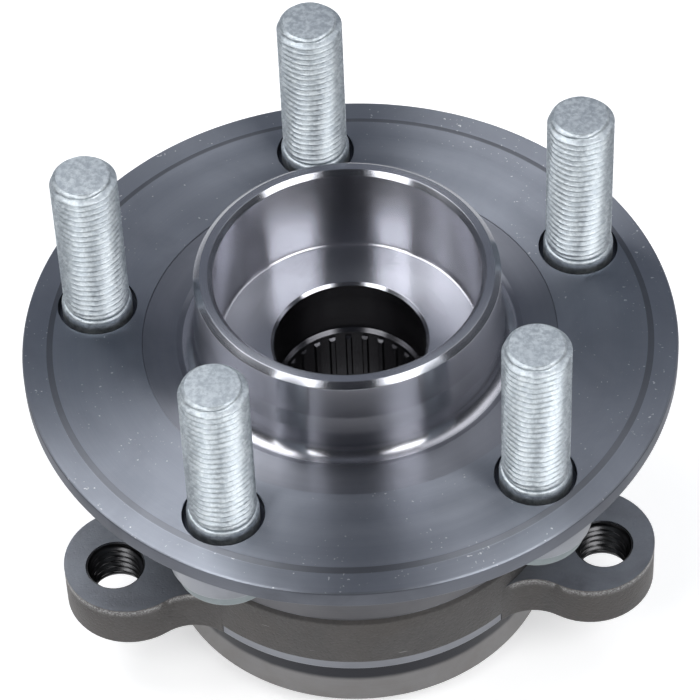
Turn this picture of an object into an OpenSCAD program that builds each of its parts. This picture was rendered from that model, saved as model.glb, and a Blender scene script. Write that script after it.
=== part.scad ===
// Driven wheel hub bearing unit, third generation: a flanged spindle turning
// in a bolted outer ring on two rows of balls.
// Origin: centre of the wheel mounting face. +Z points outboard, along the axis.
// Depths are measured inboard from the wheel mounting face.

/* [Wheel flange] */
// Outside diameter of the wheel flange
flange_d = 137; // [132:0.5:142]
// Thickness of the flange at its rim
rim_t = 4.4; // [3.6:0.1:5.5]
// Thickness of the flange plate where it meets the hub
plate_t = 9.5; // [8:0.1:11]
// Outside diameter of the flat seat that carries the wheel
seat_d = 124.4; // [123:0.2:127]
// Depth of the turned band outside the seat
band_drop = 0.35; // [0.2:0.05:0.6]
// Outside diameter of the recessed face round the pilots
inner_face_d = 86.6; // [82:0.2:88]
// Depth of the recessed face below the seat
inner_face_drop = 0.3; // [0.2:0.05:0.6]
// Radius of the fillet and groove at the foot of the pilots
foot_r = 2.6; // [2:0.1:3]
// Depth of that groove below the seat
foot_depth = 0.6; // [0.5:0.05:0.9]
// Gap between the flange's root face and the outer ring
root_gap = 3.5; // [3:0.1:4]
// Inset of the flange's root from the outer ring's collar
root_inset = 6; // [5.6:0.1:7]
// Fillet between the root face and the seal land
root_fillet = 2.5; // [2:0.1:2.8]

/* [Pilots and recess] */
// Diameter of the pilot that centres the wheel
wheel_pilot_d = 63.3; // [62:0.1:64]
// Diameter of the pilot that centres the brake disc
disc_pilot_d = 64.8; // [64.2:0.1:66]
// Height of the brake disc pilot above the seat
disc_pilot_h = 7.8; // [6:0.2:10]
// Height of the cone between the two pilots
pilot_cone_h = 2; // [1:0.2:3]
// Height of the pilot's end face above the seat
pilot_h = 19.5; // [17:0.5:22]
// Diameter of the recess inside the pilot
recess_d = 55.4; // [52:0.2:56]
// Depth of the recess floor below the seat
recess_floor = 2.3; // [1:0.1:3]
// Chamfer on the inner edge of the pilot
pilot_chamfer = 1; // [0.5:0.1:1.4]
// Width of the chamfer on the outer edge of the pilot
lead_in_w = 1.3; // [0.6:0.1:1.5]
// Height of that chamfer
lead_in_h = 1.1; // [0.6:0.1:1.5]

/* [Wheel studs] */
// Number of wheel studs
stud_n = 5; // [4:1:5]
// Diameter of the circle that the wheel studs stand on
stud_circle_d = 108; // [107:0.5:110]
// Angle of the first stud from +X
stud_phase = 24.1; // [0:0.1:72]
// Thread diameter of a stud
stud_d = 13.9; // [12:0.1:14]
// Diameter of the pressed shank
shank_d = 14.8; // [14.4:0.1:15.2]
// Height of a stud above the seat
stud_h = 39.1; // [35:0.5:45]
// Height of the plain collar above the seat
collar_h = 2.3; // [1.5:0.1:3]
// Diameter of the flat end of a stud
stud_tip_d = 11; // [10:0.1:11.4]
// Diameter of a stud head
stud_head_d = 21; // [19:0.5:22]
// Thickness of a stud head
stud_head_t = 3.8; // [3:0.1:4.6]
// Diameter of the counterbore round each stud
stud_recess_d = 17.4; // [16.4:0.1:18.4]
// Depth of the counterbore round each stud
stud_recess_depth = 2; // [1:0.1:3]
// Diameter of the boss behind each stud
boss_d = 23.4; // [22.6:0.2:25]
// Depth of the boss's back face below the seat
boss_depth = 13.6; // [12.6:0.1:13.8]

/* [Bore and spline] */
// Diameter of the plain bore outboard of the spline
bore_d = 32.1; // [30:0.1:33]
// Depth at which the lead-in to the spline begins
lead_depth = 16.1; // [14:0.1:18]
// Number of spline teeth
spline_n = 27; // [24:1:30]
// Direction of one tooth, from +X
spline_phase = -2.4; // [-6:0.1:6]
// Diameter over the tips of the spline teeth
spline_minor_d = 27.6; // [27:0.1:28.4]
// Diameter at the roots of the spline teeth
spline_major_d = 30.6; // [29.8:0.1:31]
// Depth at which the spline ends
spline_end = 68; // [60:0.5:70]

/* [Bearing] */
// Diameter of a ball
ball_d = 12.7; // [11.9:0.1:12.8]
// Number of balls in each row
ball_n = 13; // [11:1:13]
// Diameter of the circle through the ball centres
pitch_d = 61; // [60.4:0.1:61.6]
// Depth of the outboard row
row_out = 32; // [31.5:0.1:33]
// Depth of the inboard row
row_in = 58; // [57:0.1:58.6]
// Running clearance between a ball and its raceway
race_gap = 0.05; // [0.02:0.01:0.1]
// Depth of the inner raceways' low shoulder inside the pitch circle
low_shoulder_h = 5.1; // [4.5:0.1:5.4]
// Depth of the flange-side high shoulder, where the seal runs, inside the pitch circle
seal_land_h = 1.8; // [1.5:0.1:2.1]
// Depth of the inner ring's high shoulder inside the pitch circle
rib_h = 1.3; // [1:0.1:1.6]
// Reach of the outer raceways' shared shoulder beyond the pitch circle
outer_shoulder_h = 3; // [2.7:0.1:3.5]
// Reach of the outer ring's open bores beyond the pitch circle
open_bore_h = 5.8; // [5.6:0.1:6]
// Seat diameter of the pressed inner ring
ring_seat_d = 40; // [39:0.2:41]
// Depth of the shoulder that the inner ring stands against
ring_shoulder = 45; // [44:0.1:46.5]
// Depth of the inner ring's inboard end face
ring_back = 72.3; // [72:0.1:72.8]
// Outside diameter of the rolled spindle end
nose_d = 52; // [50:0.5:54]
// Length of the rolled end beyond the inner ring
nose_t = 3.4; // [2.8:0.1:4]

/* [Cages] */
// Clearance between a ball and its cage pocket
pocket_gap = 0.15; // [0.1:0.01:0.2]
// Clearance between the inner shoulders and the cages
cage_in_gap = 2.9; // [2.4:0.1:3.4]
// Clearance between the cages and the outer ring's shoulder
cage_out_gap = 1.1; // [0.8:0.1:1.6]
// Reach of the cage bar beyond the ball centre, on the pocket's open side
cage_horn = 3.2; // [2.6:0.1:3.8]
// Reach of the cage's closed side from the ball centre
cage_back = 8.4; // [7.8:0.1:8.8]

/* [Outer ring] */
// Depth of the outer ring's outboard end
ring_front = 20; // [19:0.1:20.6]
// Depth of the outer ring's inboard end
ring_end = 71.6; // [71:0.1:72]
// Diameter of the machined collar under the flange
collar_d = 88.4; // [87:0.2:89]
// Depth at which the rough body begins
body_front = 40.4; // [38:0.2:43]
// Diameter of the rough body
body_d = 90; // [89.4:0.2:92]
// Depth of the face that sits against the knuckle
knuckle_face = 57.2; // [56:0.2:58.6]
// Diameter of the pilot that enters the knuckle
knuckle_pilot_d = 85; // [84:0.1:86]
// Chamfer at the end of the knuckle pilot
knuckle_chamfer = 0.8; // [0.4:0.1:1.2]
// Width of the relief groove in the knuckle face, round the pilot's foot
relief_w = 1; // [0.6:0.1:1.2]
// Depth of that relief groove
relief_depth = 0.6; // [0.3:0.1:1]
// Bore of the two seal seats
seal_bore_d = 75; // [74.4:0.1:75.6]
// Depth of each seal seat from its end of the ring
seal_seat = 6; // [5.8:0.1:6.2]

/* [Ears] */
// Directions of the threaded ears, from +X
ear_angles = [-156.7, -23.3, 90];
// Distance of the ear holes from the axis
ear_hole_r = 56.9; // [55:0.1:58.5]
// Distance of the ear's nose centre from the axis
ear_nose_c = 53.8; // [52.5:0.1:55]
// Radius of the ear's nose
ear_nose_r = 13.9; // [13:0.1:15]
// Radius of the fillets that run the ear into the body
ear_fillet_r = 9.8; // [8:0.1:12]
// Thickness of an ear
ear_t = 11.2; // [10:0.1:13]
// Diameter of the ear hole, at the thread's crests
ear_hole_d = 10.2; // [9.6:0.1:11]
// Chamfer at both ends of an ear hole
ear_chamfer = 1; // [0.6:0.1:1.4]

/* [Seals] */
// Sheet thickness of the seal cases and the slinger
sheet_t = 0.8; // [0.6:0.05:1]
// Clearance between a seal lip and the face it runs on
lip_gap = 0.12; // [0.05:0.01:0.3]
// Thickness of the magnetic ring
encoder_t = 0.8; // [0.6:0.05:0.9]
// Clearance between the slinger's seat and the magnetic ring's bore
encoder_in_gap = 1.8; // [1.4:0.1:2.6]
// Length of the slinger's sleeve
slinger_l = 4.6; // [4:0.1:5]

/* [Hidden] */
$fn = 96;
flange_r = flange_d / 2;
seat_r = seat_d / 2;
inner_face_r = inner_face_d / 2;
wheel_pilot_r = wheel_pilot_d / 2;
disc_pilot_r = disc_pilot_d / 2;
recess_r = recess_d / 2;
bore_r = bore_d / 2;
spline_minor_r = spline_minor_d / 2;
spline_major_r = spline_major_d / 2;
pitch_r = pitch_d / 2;
ball_r = ball_d / 2;
groove_r = ball_r + race_gap;
low_r = pitch_r - low_shoulder_h;
land_r = pitch_r - seal_land_h;
rib_r = pitch_r - rib_h;
outer_land_r = pitch_r + outer_shoulder_h;
open_r = pitch_r + open_bore_h;
seat_ring_r = ring_seat_d / 2;
nose_r = nose_d / 2;
nose_end = ring_back + nose_t;
body_r = body_d / 2;
collar_r = collar_d / 2;
pilot_r = knuckle_pilot_d / 2;
// How far the ears' root fillets cut into the curves that they join
blend_bite = 0.04;
fillet_reach = body_r + ear_fillet_r - blend_bite;
// How far the foot's groove cuts into the disc pilot
foot_bite = 0.05;
cage_in_r = low_r + cage_in_gap;
cage_out_r = outer_land_r - cage_out_gap;
seal_bore_r = seal_bore_d / 2;
// Inside radius of both seal cases
case_in_r = seal_bore_r - sheet_t;
// Root face of the flange, which the outboard axial lips run against
root_depth = ring_front - root_gap;
root_r = collar_r - root_inset;
// Where the cone ends that leads into the spline
spline_start = lead_depth + bore_r - spline_major_r;
// Bevel at the inboard end of the spline's bore
bore_end_bevel = 0.6;
// How far the teeth's bevelled ends stay clear of the cones at both ends
spline_inset = 0.2;
// Depths of the open edges of the raceway grooves
groove_low = sqrt(pow(groove_r, 2) - pow(pitch_r - low_r, 2));
// Inboard end face of the slinger
slinger_end = ring_end - 0.2;
stud_angles = [for (i = [0:stud_n - 1]) stud_phase + i * 360 / stud_n];
ball_angles = [for (i = [0:ball_n - 1]) i * 360 / ball_n];

// A ring turned from a profile of [radius, height] points.
module turned(points) {
    rotate_extrude()
        polygon(points);
}

// The raceway groove of one row, as a solid to cut away.
module groove(depth) {
    translate([0, 0, -depth])
        rotate_extrude()
            translate([pitch_r, 0])
                circle(r = groove_r);
}

// Children moved out to a radius, in the direction of an angle.
module polar(radius, angle) {
    rotate([0, 0, angle])
        translate([radius, 0, 0])
            children();
}

// Outline of the spindle: pilots, flange, raceway shoulder and ring seat.
function spindle_profile() = [
    [recess_r + pilot_chamfer, pilot_h],
    [wheel_pilot_r - lead_in_w, pilot_h],
    [wheel_pilot_r, pilot_h - lead_in_h],
    [wheel_pilot_r, disc_pilot_h + pilot_cone_h],
    [disc_pilot_r, disc_pilot_h],
    [disc_pilot_r, foot_r - foot_depth],
    [disc_pilot_r + foot_r, foot_r - foot_depth],
    [disc_pilot_r + foot_r, -inner_face_drop],
    [inner_face_r, -inner_face_drop],
    [inner_face_r + 0.15, 0],
    [seat_r, 0],
    [seat_r + 0.5, -0.05],
    [seat_r + 1.2, -band_drop],
    [flange_r - 0.6, -band_drop],
    [flange_r - 0.18, -band_drop - 0.18],
    [flange_r, -band_drop - 0.6],
    [flange_r, -rim_t],
    [flange_r - 0.5, -rim_t - 0.5],
    [flange_r - 6, -rim_t - 1],
    [inner_face_r + 3, -plate_t],
    [inner_face_r - 0.4, -plate_t - 0.8],
    [root_r + 2, -root_depth + 3],
    [root_r, -root_depth],
    [land_r + root_fillet, -root_depth],
    [land_r, -root_depth - root_fillet],
    [land_r, -row_out],
    [low_r, -row_out],
    [low_r, -row_out - groove_low - 2],
    [low_r - 0.9, -row_out - groove_low - 3.6],
    [low_r - 0.9, -ring_shoulder + 0.6],
    [low_r - 1.5, -ring_shoulder],
    [seat_ring_r, -ring_shoulder],
    [seat_ring_r, -ring_back + 1],
    [seat_ring_r + 1, -ring_back],
    [nose_r, -ring_back],
    [nose_r, -ring_back - nose_t * 0.45],
    [nose_r - 2.2, -nose_end],
    [spline_major_r + 3, -nose_end],
    [spline_major_r + bore_end_bevel, -nose_end + 3 - bore_end_bevel],
    [spline_major_r + bore_end_bevel, -spline_end],
    [spline_major_r, -spline_end + bore_end_bevel],
    [spline_major_r, -spline_start],
    [bore_r, -lead_depth],
    [bore_r, -recess_floor - 0.6],
    [bore_r + 0.6, -recess_floor],
    [recess_r - 0.8, -recess_floor],
    [recess_r - 0.23, -recess_floor + 0.23],
    [recess_r, -recess_floor + 0.8],
    [recess_r, pilot_h - pilot_chamfer]
];

// One spline tooth, standing inward from the bore wall.
module spline_tooth() {
    half = 180 / spline_n;
    root = spline_major_r + 0.3;
    points = [
        [root * cos(half * 0.76), -root * sin(half * 0.76)],
        [root * cos(half * 0.76), root * sin(half * 0.76)],
        [spline_minor_r + 0.4, spline_minor_r * sin(half * 0.42)],
        [spline_minor_r, spline_minor_r * sin(half * 0.26)],
        [spline_minor_r, -spline_minor_r * sin(half * 0.26)],
        [spline_minor_r + 0.4, -spline_minor_r * sin(half * 0.42)]
    ];
    linear_extrude(height = spline_end - spline_start + spline_inset)
        polygon(points);
}

// Teeth with the bevelled ends that lead the axle shaft in.
module spline() {
    top = -spline_start - spline_inset;
    bottom = -spline_end + bore_end_bevel + spline_inset;
    lead = spline_major_r - spline_minor_r + 0.1;
    intersection() {
        translate([0, 0, -spline_end])
            for (i = [0:spline_n - 1])
                rotate([0, 0, spline_phase + i * 360 / spline_n])
                    spline_tooth();
        turned([
            [spline_major_r + 0.5, bottom - 0.5],
            [spline_major_r + 0.5, top + 0.5],
            [spline_minor_r - 0.1, top - lead],
            [spline_minor_r - 0.1, bottom + lead]
        ]);
    }
}

// Boss behind one stud, with the web that ties it to the hub.
module stud_boss() {
    web = boss_d * 0.6;
    reach = stud_circle_d / 2 - root_r;
    translate([0, 0, -boss_depth]) {
        cylinder(d = boss_d, h = boss_depth - rim_t / 2 - 1);
        translate([-reach, -web / 2, 0])
            cube([reach, web, boss_depth - rim_t - 1]);
    }
}

// Hole for one pressed stud, with the counterbore round its collar.
module stud_hole() {
    translate([0, 0, -boss_depth - 1])
        cylinder(d = shank_d, h = boss_depth + 2);
    translate([0, 0, -stud_recess_depth])
        cylinder(d = stud_recess_d, h = stud_recess_depth + 1);
}

module hub_spindle() {
    color("slategray")
        union() {
            difference() {
                union() {
                    turned(spindle_profile());
                    for (a = stud_angles)
                        polar(stud_circle_d / 2, a)
                            stud_boss();
                }
                for (a = stud_angles)
                    polar(stud_circle_d / 2, a)
                        stud_hole();
                groove(row_out);
                translate([0, 0, foot_r - foot_depth])
                    rotate_extrude()
                        translate([disc_pilot_r + foot_r - foot_bite, 0])
                            circle(r = foot_r);
            }
            spline();
        }
}

// Stud along +Z, its thread shown at its full diameter.
module stud() {
    tip = (stud_d - stud_tip_d) / 2;
    color("lightsteelblue")
        turned([
            [0, -boss_depth - stud_head_t],
            [stud_head_d / 2 - 0.8, -boss_depth - stud_head_t],
            [stud_head_d / 2, -boss_depth - stud_head_t + 0.8],
            [stud_head_d / 2, -boss_depth - 0.4],
            [stud_head_d / 2 - 0.4, -boss_depth],
            [shank_d / 2, -boss_depth],
            [shank_d / 2, collar_h - 0.5],
            [shank_d / 2 - 0.5, collar_h],
            [stud_d / 2 - 0.9, collar_h + 0.3],
            [stud_d / 2 - 0.9, collar_h + 0.9],
            [stud_d / 2, collar_h + 1.6],
            [stud_d / 2, stud_h - tip * 1.1],
            [stud_tip_d / 2, stud_h],
            [0, stud_h]
        ]);
}

module wheel_stud(i) {
    polar(stud_circle_d / 2, stud_angles[i - 1])
        stud();
}

// Outline of the stationary ring without its ears.
function outer_profile() = [
    [seal_bore_r + 0.6, -ring_front],
    [collar_r - 0.8, -ring_front],
    [collar_r, -ring_front - 0.8],
    [collar_r, -body_front],
    [body_r, -body_front - 0.8],
    [body_r, -knuckle_face],
    [pilot_r + relief_w, -knuckle_face],
    [pilot_r + relief_w, -knuckle_face + relief_depth],
    [pilot_r, -knuckle_face + relief_depth],
    [pilot_r, -ring_end + knuckle_chamfer],
    [pilot_r - knuckle_chamfer, -ring_end],
    [seal_bore_r + 0.6, -ring_end],
    [seal_bore_r, -ring_end + 0.6],
    [seal_bore_r, -ring_end + seal_seat],
    [open_r, -ring_end + seal_seat],
    [open_r, -row_in],
    [outer_land_r, -row_in],
    [outer_land_r, -row_out],
    [open_r, -row_out],
    [open_r, -ring_front - seal_seat],
    [seal_bore_r, -ring_front - seal_seat],
    [seal_bore_r, -ring_front - 0.6]
];

// Angle at the axis between an ear and the centre of its root fillet.
function fillet_angle() = let (
    a = fillet_reach,
    b = ear_nose_c,
    c = ear_nose_r + ear_fillet_r - blend_bite
) acos((a * a + b * b - c * c) / (2 * a * b));

// Ear along +X, with concave fillets that run into the round body.
module ear() {
    fx = fillet_reach * cos(fillet_angle());
    fy = fillet_reach * sin(fillet_angle());
    translate([0, 0, -knuckle_face])
        difference() {
            union() {
                linear_extrude(height = ear_t)
                    polygon([
                        [0, 0],
                        [fx, fy],
                        [ear_nose_c, 0],
                        [fx, -fy]
                    ]);
                translate([ear_nose_c, 0, 0])
                    cylinder(r = ear_nose_r, h = ear_t);
            }
            for (side = [-1, 1])
                translate([fx, side * fy, -1])
                    cylinder(r = ear_fillet_r, h = ear_t + 2);
        }
}

// Tapped hole of one ear, chamfered at both faces.
module ear_hole() {
    r = ear_hole_d / 2;
    translate([0, 0, -knuckle_face])
        turned([
            [0, -1],
            [r + ear_chamfer + 1, -1],
            [r, ear_chamfer],
            [r, ear_t - ear_chamfer],
            [r + ear_chamfer + 1, ear_t + 1],
            [0, ear_t + 1]
        ]);
}

module outer_ring() {
    color("dimgray")
        difference() {
            union() {
                rotate([0, 0, -90])
                    turned(outer_profile());
                difference() {
                    for (a = ear_angles)
                        rotate([0, 0, a])
                            ear();
                    translate([0, 0, -knuckle_face - 1])
                        cylinder(r = body_r - 1, h = ear_t + 2);
                }
            }
            groove(row_out);
            groove(row_in);
            for (a = ear_angles)
                polar(ear_hole_r, a)
                    ear_hole();
        }
}

module inner_ring() {
    color("silver")
        difference() {
            turned([
                [seat_ring_r, -ring_shoulder - 1],
                [seat_ring_r + 0.6, -ring_shoulder],
                [low_r - 1.3, -ring_shoulder],
                [low_r, -ring_shoulder - 1.2],
                [low_r, -row_in],
                [rib_r, -row_in],
                [rib_r, -ring_back + 0.6],
                [rib_r - 0.6, -ring_back],
                [seat_ring_r + 1, -ring_back],
                [seat_ring_r, -ring_back + 1]
            ]);
            groove(row_in);
        }
}

// Cage of one row. dir is 1 where the closed side faces outboard.
module cage(depth, dir) {
    color("saddlebrown")
        translate([0, 0, -depth])
            difference() {
                turned([
                    [cage_in_r, -dir * cage_horn],
                    [cage_out_r, -dir * cage_horn],
                    [cage_out_r, dir * (cage_back - 0.8)],
                    [cage_out_r - 0.8, dir * cage_back],
                    [cage_in_r, dir * cage_back]
                ]);
                for (a = ball_angles)
                    polar(pitch_r, a)
                        sphere(r = ball_r + pocket_gap);
            }
}

module outboard_cage() {
    cage(row_out, -1);
}

module inboard_cage() {
    cage(row_in, 1);
}

module ball(depth, i) {
    color("gainsboro")
        polar(pitch_r, ball_angles[i - 1])
            translate([0, 0, -depth])
                sphere(r = ball_r);
}

module outboard_seal_case() {
    back = ring_front + seal_seat;
    color("lightslategray")
        turned([
            [case_in_r, -ring_front - 0.8],
            [seal_bore_r, -ring_front - 0.8],
            [seal_bore_r, -back],
            [land_r + 4, -back],
            [land_r + 4, -back + sheet_t],
            [case_in_r, -back + sheet_t]
        ]);
}

module outboard_seal_lip() {
    base = ring_front + seal_seat - sheet_t;
    color("black")
        turned([
            [case_in_r, -base],
            [case_in_r, -root_depth - lip_gap],
            [case_in_r - 0.6, -root_depth - lip_gap],
            [case_in_r - 1, -base + 3],
            [case_in_r - 1.7, -base + 3],
            [case_in_r - 1.3, -root_depth - lip_gap],
            [case_in_r - 1.9, -root_depth - lip_gap],
            [case_in_r - 2.8, -base + 2.8],
            [land_r + 3.4, -base + 2.2],
            [land_r + lip_gap, -base + 4],
            [land_r + lip_gap, -base + 3.2],
            [land_r + 2.8, -base + 1],
            [land_r + 3.2, -base]
        ]);
}

module inboard_seal_case() {
    back = ring_end - seal_seat;
    color("lightslategray")
        turned([
            [case_in_r, -ring_end + 0.5],
            [seal_bore_r, -ring_end + 0.5],
            [seal_bore_r, -back],
            [rib_r + 4, -back],
            [rib_r + 4, -back - sheet_t],
            [case_in_r, -back - sheet_t]
        ]);
}

module slinger() {
    color("lightgray")
        turned([
            [rib_r, -slinger_end + slinger_l],
            [rib_r + sheet_t, -slinger_end + slinger_l],
            [rib_r + sheet_t, -slinger_end + sheet_t],
            [case_in_r - 0.5, -slinger_end + sheet_t],
            [case_in_r - 0.5, -slinger_end],
            [rib_r, -slinger_end]
        ]);
}

module inboard_seal_lip() {
    base = ring_end - seal_seat + sheet_t;
    run = slinger_end - sheet_t - lip_gap;
    sleeve = rib_r + sheet_t + lip_gap;
    color("black")
        turned([
            [case_in_r, -base],
            [case_in_r, -base - 1.2],
            [case_in_r - 0.6, -run],
            [case_in_r - 1.2, -run],
            [case_in_r - 1.2, -base - 1.4],
            [case_in_r - 2.6, -base - 1.2],
            [sleeve, -base - 2.8],
            [sleeve, -base - 1.9],
            [rib_r + 3.4, -base - 0.5],
            [rib_r + 3.4, -base]
        ]);
}

module encoder_ring() {
    color("darkslategray")
        turned([
            [rib_r + encoder_in_gap, -slinger_end],
            [case_in_r - 0.5, -slinger_end],
            [case_in_r - 0.5, -slinger_end - encoder_t],
            [rib_r + encoder_in_gap, -slinger_end - encoder_t]
        ]);
}

hub_spindle();
outer_ring();
inner_ring();
outboard_cage();
inboard_cage();
outboard_seal_case();
outboard_seal_lip();
inboard_seal_case();
inboard_seal_lip();
slinger();
encoder_ring();
for (i = [1:stud_n])
    wheel_stud(i);
for (i = [1:ball_n])
    ball(row_out, i);
for (i = [1:ball_n])
    ball(row_in, i);
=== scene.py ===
import math

import bmesh
import bpy
from mathutils import Matrix, Vector


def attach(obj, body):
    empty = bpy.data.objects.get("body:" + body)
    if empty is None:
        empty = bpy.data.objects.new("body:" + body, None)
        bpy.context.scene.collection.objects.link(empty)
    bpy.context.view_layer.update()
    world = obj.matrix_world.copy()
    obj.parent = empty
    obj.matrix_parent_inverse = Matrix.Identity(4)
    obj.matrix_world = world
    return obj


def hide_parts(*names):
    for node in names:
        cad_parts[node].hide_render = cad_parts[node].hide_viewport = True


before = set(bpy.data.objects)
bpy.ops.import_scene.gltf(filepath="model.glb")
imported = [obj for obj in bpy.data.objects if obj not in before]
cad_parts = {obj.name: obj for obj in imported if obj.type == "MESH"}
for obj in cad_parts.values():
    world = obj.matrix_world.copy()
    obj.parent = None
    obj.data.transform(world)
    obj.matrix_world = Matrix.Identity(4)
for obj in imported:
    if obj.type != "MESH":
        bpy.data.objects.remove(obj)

scene = bpy.context.scene
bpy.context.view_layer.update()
mm = 0.001

print("stage: camera")

view = {
    "place": (0.0, -524.32, 588.56),  # mm, from the wheel mounting face
    "target": (-0.10, -4.75, 0.0),
    "roll": -2.512,  # degrees
    "lens": 194.23,
    "sensor": 36.0,
    "nearest": 0.01,  # m
}

def aimAt(place, target, rollDegrees=0.0):
    # Matrix of something that looks from place to target, both in mm.
    forward = (Vector(target) - Vector(place)).normalized()
    right = forward.cross(Vector((0, 0, 1))).normalized()
    up = right.cross(forward)
    roll = math.radians(rollDegrees)
    turnedRight = right * math.cos(roll) + up * math.sin(roll)
    turnedUp = up * math.cos(roll) - right * math.sin(roll)
    rows = Matrix((turnedRight, turnedUp, -forward)).transposed()
    return Matrix.Translation(Vector(place) * mm) @ rows.to_4x4()


cameraData = bpy.data.cameras.new("photoCamera")
cameraData.lens = view["lens"]
cameraData.sensor_width = view["sensor"]
cameraData.clip_start = view["nearest"]
camera = bpy.data.objects.new("photoCamera", cameraData)
camera.matrix_world = aimAt(view["place"], view["target"], view["roll"])
scene.collection.objects.link(camera)
scene.camera = camera
scene.view_settings.view_transform = "Standard"

finishes = {}  # every finish by name, filled in as it is made


def newObject(name, mesh):
    made = bpy.data.objects.new(name, mesh)
    scene.collection.objects.link(made)
    return made


def filleted(corners, steps=5):
    # Corners are (r, z) or (r, z, fillet). Gives (r, z) points with the fillets drawn in.
    points = []
    count = len(corners)
    for i, corner in enumerate(corners):
        here = Vector(corner[:2])
        if len(corner) < 3:
            points.append(here)
            continue
        before = (Vector(corners[i - 1][:2]) - here).normalized()
        after = (Vector(corners[(i + 1) % count][:2]) - here).normalized()
        half = before.angle(after) / 2
        reach = corner[2] / math.tan(half)
        middle = here + (before + after).normalized() * corner[2] / math.sin(half)
        start = here + before * reach - middle
        end = here + after * reach - middle
        sweep = start.angle_signed(end)
        for k in range(steps + 1):
            turn = Matrix.Rotation(-sweep * k / steps, 2)
            points.append(middle + turn @ start)
    return points


def meshData(name, mesh):
    # Turns a bmesh into plain mesh data and frees it.
    data = bpy.data.meshes.new(name)
    mesh.to_mesh(data)
    mesh.free()
    return data


def dress(data, names):
    for name in names:
        data.materials.append(finishes[name])


def turnedMesh(name, corners, zone=None, names=(), segments=240, closed=True):
    # Revolves a profile in mm about Z. zone names each face's finish from its middle's r and z.
    onAxis = 1e-6  # mm
    points = filleted(corners)
    mesh = bmesh.new()
    rings = []
    for r, z in points:
        if r < onAxis:
            rings.append([mesh.verts.new((0, 0, z * mm))])
            continue
        rings.append([
            mesh.verts.new((
                r * mm * math.cos(2 * math.pi * k / segments),
                r * mm * math.sin(2 * math.pi * k / segments),
                z * mm,
            )) for k in range(segments)
        ])
    pairs = list(zip(rings, rings[1:]))
    middles = [(a + b) / 2 for a, b in zip(points, points[1:])]
    if closed:
        pairs.append((rings[-1], rings[0]))
        middles.append((points[-1] + points[0]) / 2)
    for (low, high), middle in zip(pairs, middles):
        index = names.index(zone(*middle)) if zone else 0
        for k in range(segments):
            n = (k + 1) % segments
            corner = [low[k % len(low)], low[n % len(low)]]
            corner += [high[n % len(high)], high[k % len(high)]]
            unique = list(dict.fromkeys(corner))
            if len(unique) > 2:
                mesh.faces.new(unique).material_index = index
    bmesh.ops.recalc_face_normals(mesh, faces=mesh.faces)
    data = meshData(name, mesh)
    dress(data, names)
    return data


def onCircle(reach, degrees):
    turn = math.radians(degrees)
    return (reach * math.cos(turn), reach * math.sin(turn), 0)


def smoothSharp(made, degrees=32):
    made.data.shade_smooth()
    made.data.set_sharp_from_angle(angle=math.radians(degrees))


def settle(made):
    # Bakes the live modifiers into the mesh.
    graph = bpy.context.evaluated_depsgraph_get()
    graph.update()
    baked = bpy.data.meshes.new_from_object(
        made.evaluated_get(graph), preserve_all_data_layers=True, depsgraph=graph
    )
    made.modifiers.clear()
    made.data = baked


def carve(made, cutter, how="DIFFERENCE"):
    step = made.modifiers.new("carve", "BOOLEAN")
    step.operation = how
    step.solver = "EXACT"
    step.object = cutter
    settle(made)
    bpy.data.objects.remove(cutter)


def joined(name, objects):
    mesh = bmesh.new()
    for item in objects:
        mesh.from_mesh(item.data)
    data = meshData(name, mesh)
    dress(data, [material.name for material in objects[0].data.materials])
    for item in objects:
        bpy.data.objects.remove(item)
    return newObject(name, data)


class Sheet:
    # A node tree with short calls for adding and linking.
    def __init__(self, tree):
        self.tree = tree

    def add(self, kind, settings=None, **inputs):
        node = self.tree.nodes.new(kind)
        for key, value in (settings or {}).items():
            setattr(node, key, value)
        for key, value in inputs.items():
            self.set(node, key.replace("_", " "), value)
        return node

    def set(self, node, key, value):
        socket = node.inputs[int(key)] if key.isdigit() else node.inputs[key]
        if isinstance(value, bpy.types.NodeSocket):
            self.tree.links.new(value, socket)
        else:
            socket.default_value = value

    def math(self, kind, a, b=0.0, clamp=False):
        node = self.tree.nodes.new("ShaderNodeMath")
        node.operation = kind
        node.use_clamp = clamp
        self.set(node, "0", a)
        self.set(node, "1", b)
        return node.outputs[0]

    def times(self, a, b):
        return self.math("MULTIPLY", a, b)

    def plus(self, a, b):
        return self.math("ADD", a, b)

    def remap(self, value, fromLow, fromHigh, toLow=0.0, toHigh=1.0, smooth=False):
        node = self.tree.nodes.new("ShaderNodeMapRange")
        node.interpolation_type = "SMOOTHSTEP" if smooth else "LINEAR"
        for key, item in zip(range(5), (value, fromLow, fromHigh, toLow, toHigh)):
            self.set(node, str(key), item)
        return node.outputs[0]

    def blend(self, factor, a, b):
        node = self.tree.nodes.new("ShaderNodeMix")
        node.data_type = "RGBA"
        self.set(node, "0", factor)
        self.set(node, "6", a)
        self.set(node, "7", b)
        return node.outputs[2]

    def place(self, kind="Object"):
        # Where a point lies on its own piece, in m.
        return self.add("ShaderNodeTexCoord").outputs[kind]

    def split(self, vector):
        return self.add("ShaderNodeSeparateXYZ", Vector=vector).outputs

    def combine(self, **parts):
        return self.add("ShaderNodeCombineXYZ", **parts).outputs[0]

    def vector(self, kind, a, **more):
        node = self.add("ShaderNodeVectorMath", {"operation": kind}, **more)
        self.set(node, "0", a)
        return node.outputs

    def noise(self, place, scale, detail, roughness=0.5, distortion=0.0):
        return self.add(
            "ShaderNodeTexNoise", Vector=place, Scale=scale, Detail=detail,
            Roughness=roughness, Distortion=distortion,
        ).outputs[0]

    def bump(self, shader, strength, distance, height):
        node = self.add("ShaderNodeBump", Strength=strength, Distance=distance, Height=height)
        self.set(shader, "Normal", node.outputs[0])


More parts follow.
